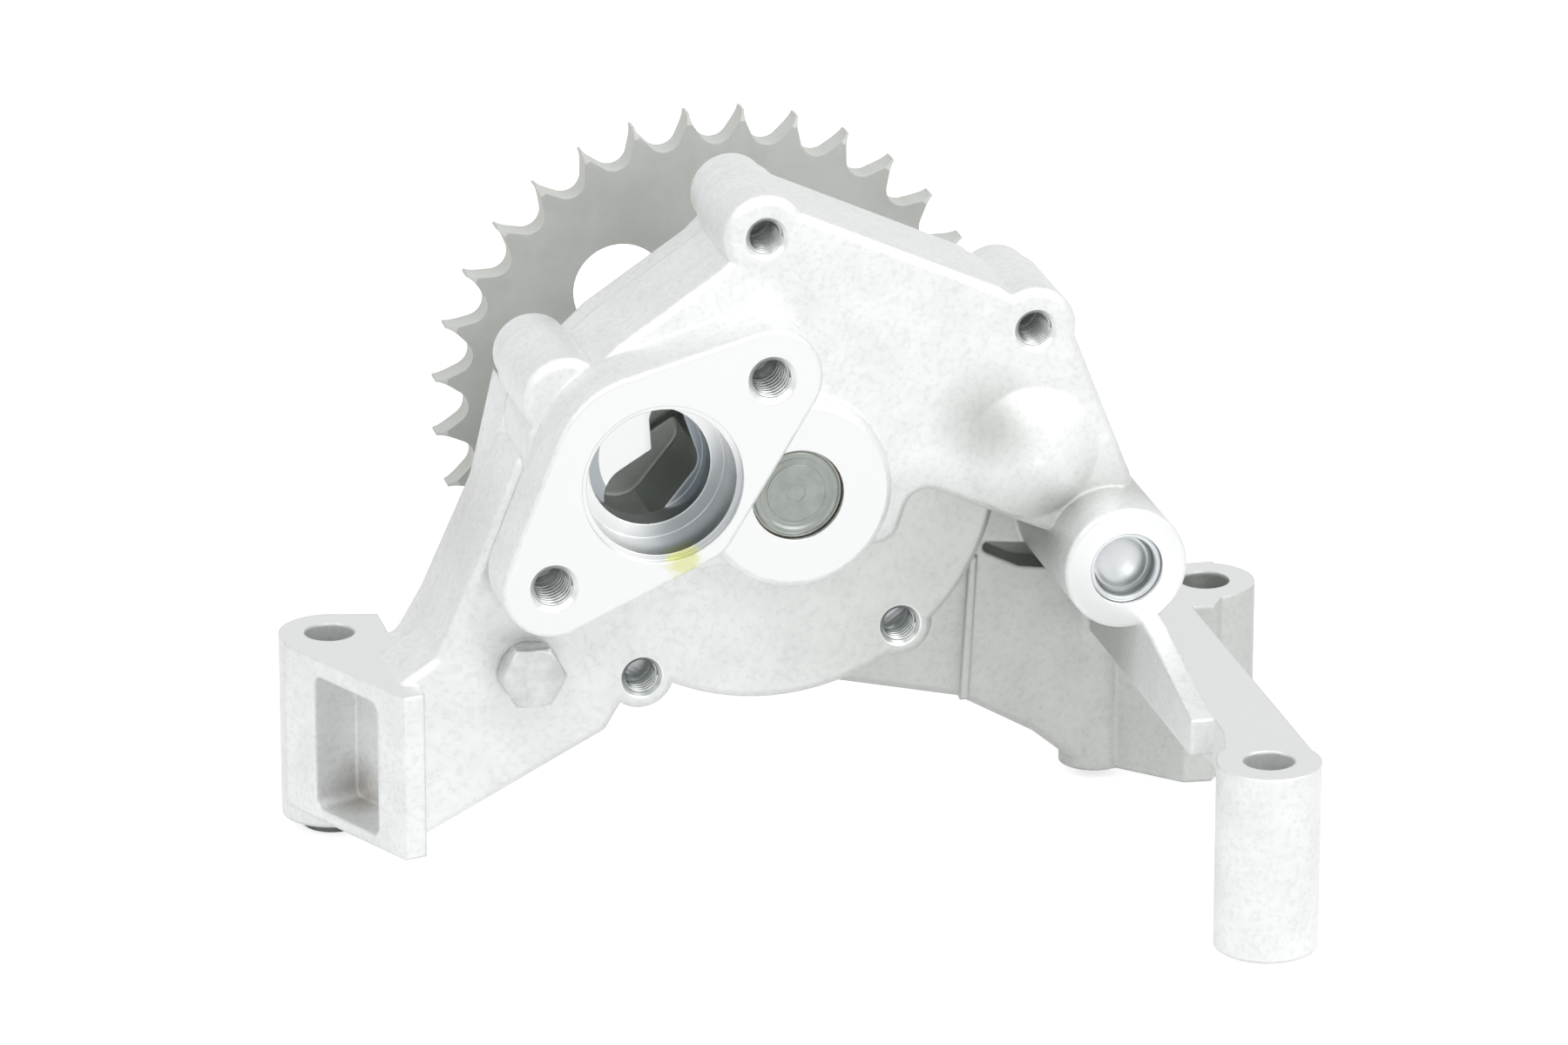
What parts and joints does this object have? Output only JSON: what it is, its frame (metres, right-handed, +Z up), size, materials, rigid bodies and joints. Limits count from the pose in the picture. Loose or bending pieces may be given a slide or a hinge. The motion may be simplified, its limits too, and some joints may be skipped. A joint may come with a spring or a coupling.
{
  "type": "engine oil pump",
  "caption": "Gear oil pump in a legged, arched light-alloy casting with a suction flange, relief valve and rear chain sprocket.",
  "frame": {"origin": "on the plane the legs seat on, straight below the drive shaft", "axes": "+X across the engine towards the cup plug, +Y along the drive shaft towards the sprocket, +Z up from the seat plane"},
  "size_m": [0.175, 0.14, 0.1214],
  "materials": {
    "cast_alloy": "cast, with machined faces",
    "sprocket_steel": "satin",
    "ground_steel": "ground",
    "plated_steel": "zinc plated",
    "dark_steel": "oiled dark",
    "bearing_bronze": "bored",
    "soft_seal": "matt",
    "spring_steel": "drawn"
  },
  "bodies": {
    "housing": {"pump_housing": "cast_alloy", "rear_cover": "cast_alloy", "cover_screw_1": "plated_steel", "cover_screw_2": "plated_steel", "cover_screw_3": "plated_steel", "cover_screw_4": "plated_steel", "cover_screw_5": "plated_steel", "cover_dowel_1": "ground_steel", "cover_dowel_2": "ground_steel", "left_sleeve": "dark_steel", "right_sleeve": "dark_steel", "front_bush": "bearing_bronze", "rear_bush": "bearing_bronze", "idler_axle": "ground_steel", "relief_plug": "plated_steel", "relief_seal_ring": "soft_seal", "relief_spring": "spring_steel", "gallery_cup_plug": "plated_steel"},
    "drive": {"drive_shaft": "ground_steel", "sprocket_key": "ground_steel", "drive_gear": "ground_steel", "drive_sprocket": "sprocket_steel", "sprocket_washer": "plated_steel", "sprocket_bolt": "plated_steel"},
    "driven": {"driven_gear": "ground_steel", "driven_gear_bush": "bearing_bronze"},
    "relief": {"relief_piston": "ground_steel"}
  },
  "joints": [
    {"name": "drive_spin", "type": "hinge", "parent": "housing", "child": "drive", "pos_m": [0, 0, 0.0665], "axis": [0, 1, 0], "continuous": true},
    {"name": "driven_spin", "type": "hinge", "parent": "housing", "child": "driven", "pos_m": [0.01909, 0, 0.08559], "axis": [0, 1, 0], "continuous": true},
    {"name": "relief_slide", "type": "slide", "parent": "housing", "child": "relief", "axis": [0, -1, 0], "range_m": [0, 0.003], "stiffness_N_per_m": 4000, "springref_m": -0.004, "deforming": ["relief_spring"]}
  ],
  "couplings": [
    {"joint": "driven_spin", "follows": "drive_spin", "ratio": -1}
  ]
}
